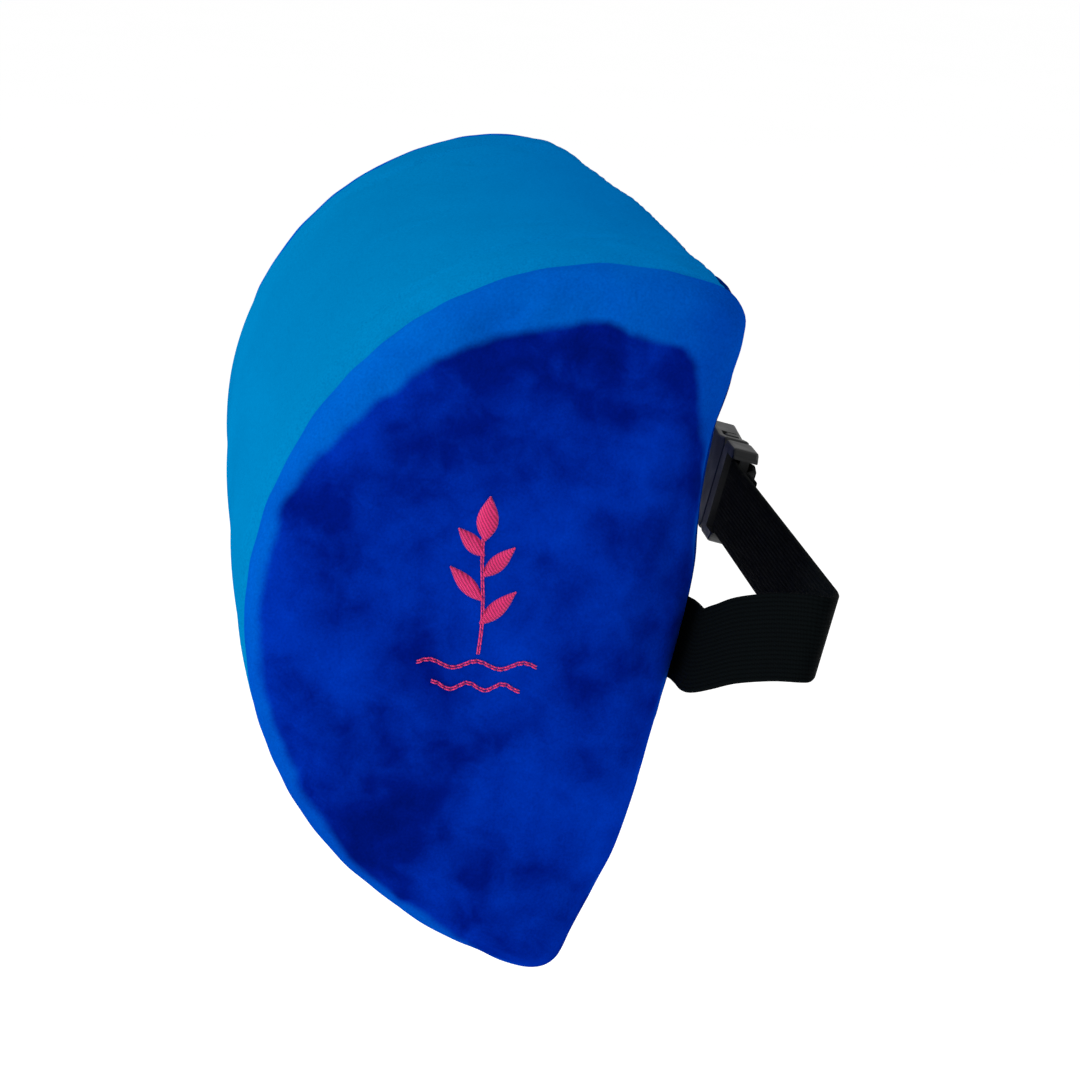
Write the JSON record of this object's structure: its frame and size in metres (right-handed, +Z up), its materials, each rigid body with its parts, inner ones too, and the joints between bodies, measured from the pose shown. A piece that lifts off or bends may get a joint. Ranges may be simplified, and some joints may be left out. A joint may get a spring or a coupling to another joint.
{
  "type": "strap-on lumbar support cushion",
  "caption": "Half-round foam lumbar cushion in a zipped plush cover, held to a chair's back by an elastic strap with a side-release buckle.",
  "frame": {"origin": "middle of the flat back face that rests on the chair", "axes": "+X across the cushion to the sitter's left, +Y out of the back face into the chair, +Z up along the back face"},
  "size_m": [0.4916, 0.1686, 0.214],
  "materials": {
    "plush_band": "short-pile teal-blue plush",
    "velour_end": "royal-blue crushed velour",
    "knit_back": "dark blue warp-knit fabric",
    "foam": "open-cell foam",
    "zip_tape": "woven zip tape",
    "zip_coil": "nylon coil",
    "zip_metal": "nickel-plated zinc",
    "webbing": "black ribbed elastic webbing",
    "black_thread": "polyester sewing thread",
    "pink_thread": "glossy embroidery thread",
    "black_plastic": "moulded acetal, fine texture"
  },
  "bodies": {
    "root": {"foam_core": "foam", "cover_front_band": "plush_band", "cover_end_left": "velour_end", "cover_end_right": "velour_end", "cover_back_upper": "knit_back", "cover_back_lower": "knit_back", "zip_tape_upper": "zip_tape", "zip_tape_lower": "zip_tape", "zip_coil_upper": "zip_coil", "zip_coil_lower": "zip_coil", "zip_stop_closed": "zip_metal", "zip_stop_open": "zip_metal", "strap_left": "webbing", "strap_right": "webbing", "bar_tack_left": "black_thread", "bar_tack_right": "black_thread", "bar_tack_tail": "black_thread", "buckle_socket": "black_plastic", "embroidered_motif": "pink_thread"},
    "zip_slider": {"zip_slider": "zip_metal"},
    "zip_pull": {"zip_pull": "zip_metal"},
    "buckle_plug": {"buckle_plug": "black_plastic", "bar_tack_plug": "black_thread"},
    "buckle_arm_upper": {"buckle_arm_upper": "black_plastic"},
    "buckle_arm_lower": {"buckle_arm_lower": "black_plastic"},
    "strap_adjuster": {"strap_adjuster": "black_plastic"}
  },
  "joints": [
    {"name": "zip_slide", "type": "slide", "parent": "root", "child": "zip_slider", "axis": [1, 0, 0], "range_m": [0, 0.285]},
    {"name": "zip_pull_swing", "type": "hinge", "parent": "zip_slider", "child": "zip_pull", "pos_m": [-0.1405, 0.0022, -0.036], "axis": [0, 0, 1], "range_deg": [0, 180]},
    {"name": "buckle_release", "type": "slide", "parent": "root", "child": "buckle_plug", "axis": [1, 0, 0], "range_m": [0, 0.03], "deforming": ["strap_left", "buckle_arm_upper", "buckle_arm_lower"]},
    {"name": "buckle_arm_upper_squeeze", "type": "hinge", "parent": "buckle_plug", "child": "buckle_arm_upper", "pos_m": [0.0095, 0.0334, 0.031], "axis": [0, -1, 0], "range_deg": [0, 12], "stiffness_Nm_per_rad": 0.2},
    {"name": "buckle_arm_lower_squeeze", "type": "hinge", "parent": "buckle_plug", "child": "buckle_arm_lower", "pos_m": [0.0095, 0.0334, 0.011], "axis": [0, 1, 0], "range_deg": [0, 12], "stiffness_Nm_per_rad": 0.2},
    {"name": "adjuster_slide", "type": "slide", "parent": "root", "child": "strap_adjuster", "axis": [1, 0, 0], "range_m": [-0.05, 0.012]}
  ],
  "couplings": [
    {"joint": "buckle_arm_lower_squeeze", "follows": "buckle_arm_upper_squeeze", "ratio": 1}
  ]
}
